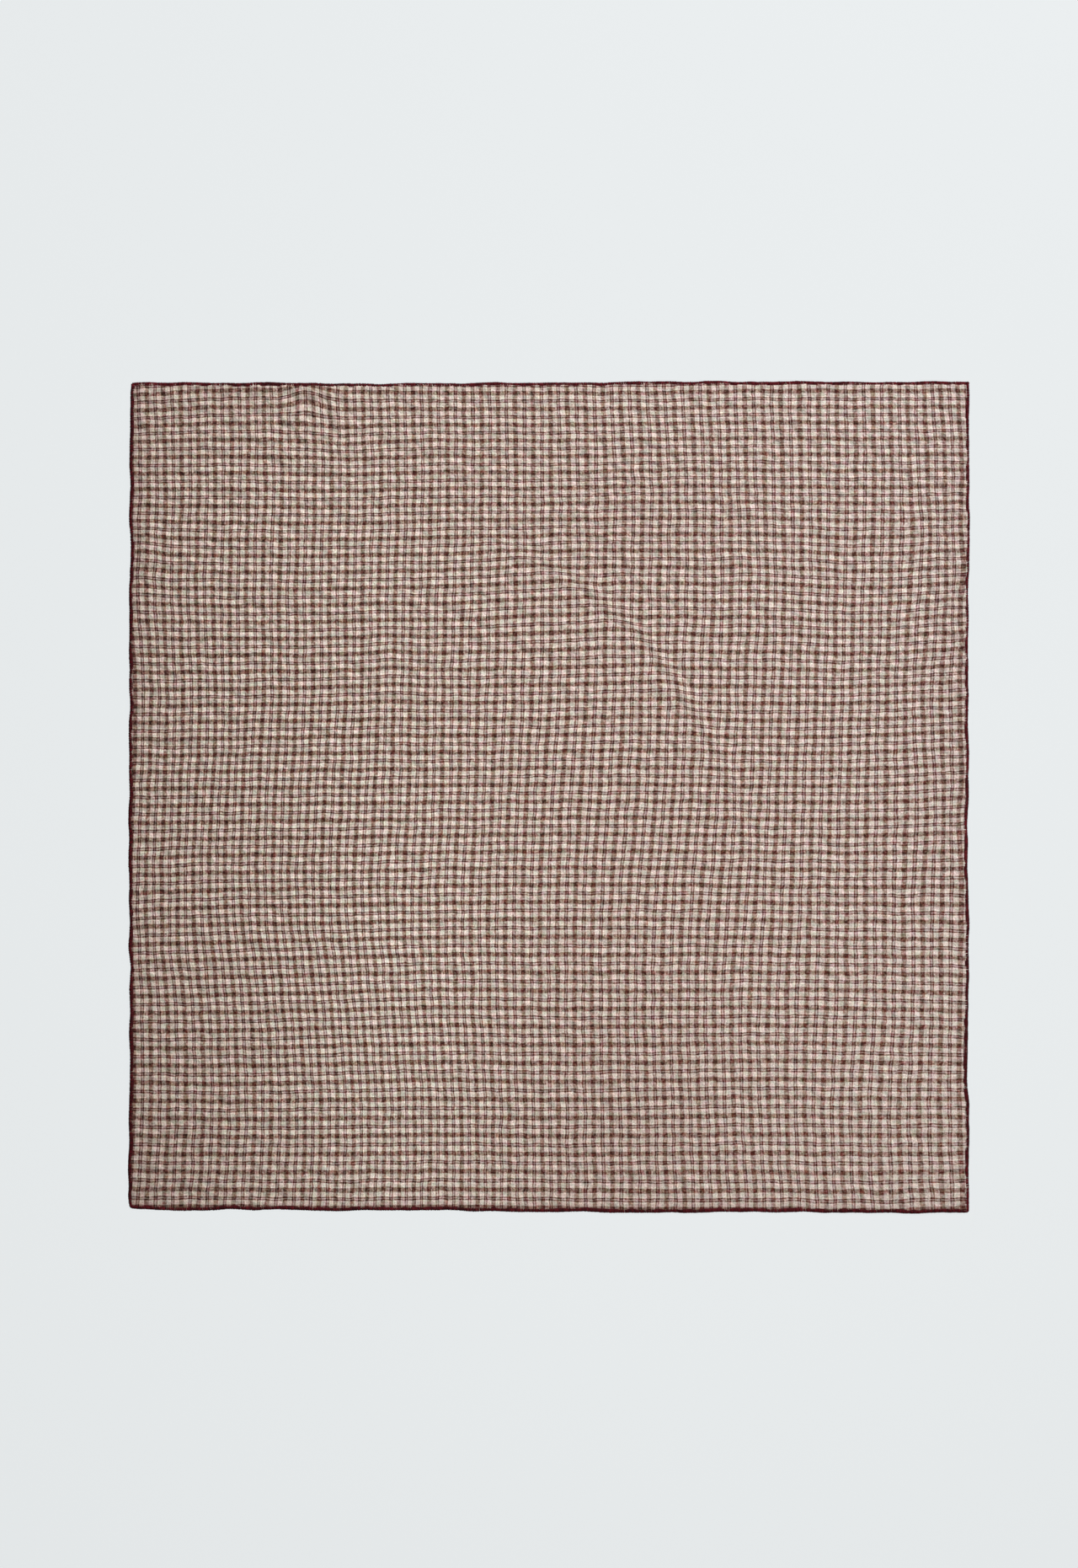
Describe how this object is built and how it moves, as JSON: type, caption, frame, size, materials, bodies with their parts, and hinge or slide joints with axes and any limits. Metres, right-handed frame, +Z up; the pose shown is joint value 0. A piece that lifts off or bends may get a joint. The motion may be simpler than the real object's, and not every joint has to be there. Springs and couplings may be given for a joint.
{
  "type": "cotton scarf",
  "caption": "Thin square cotton scarf with an even small check and a narrow rolled, oversewn hem, laid out flat with soft creases and puckers.",
  "frame": {"origin": "centre of the bounding box in X and Y, on the surface that the scarf lies on", "axes": "+Z up, out of the surface that it lies on; +X along the scarf's width, +Y along its length"},
  "size_m": [0.7012, 0.693, 0.0028],
  "materials": {
    "checked_cotton": "matt yarn-dyed plain weave, dark brown and ecru check",
    "hem_thread": "dense burgundy oversewing thread, soft low sheen"
  },
  "bodies": {
    "root": {"scarf": "checked_cotton"}
  },
  "joints": []
}
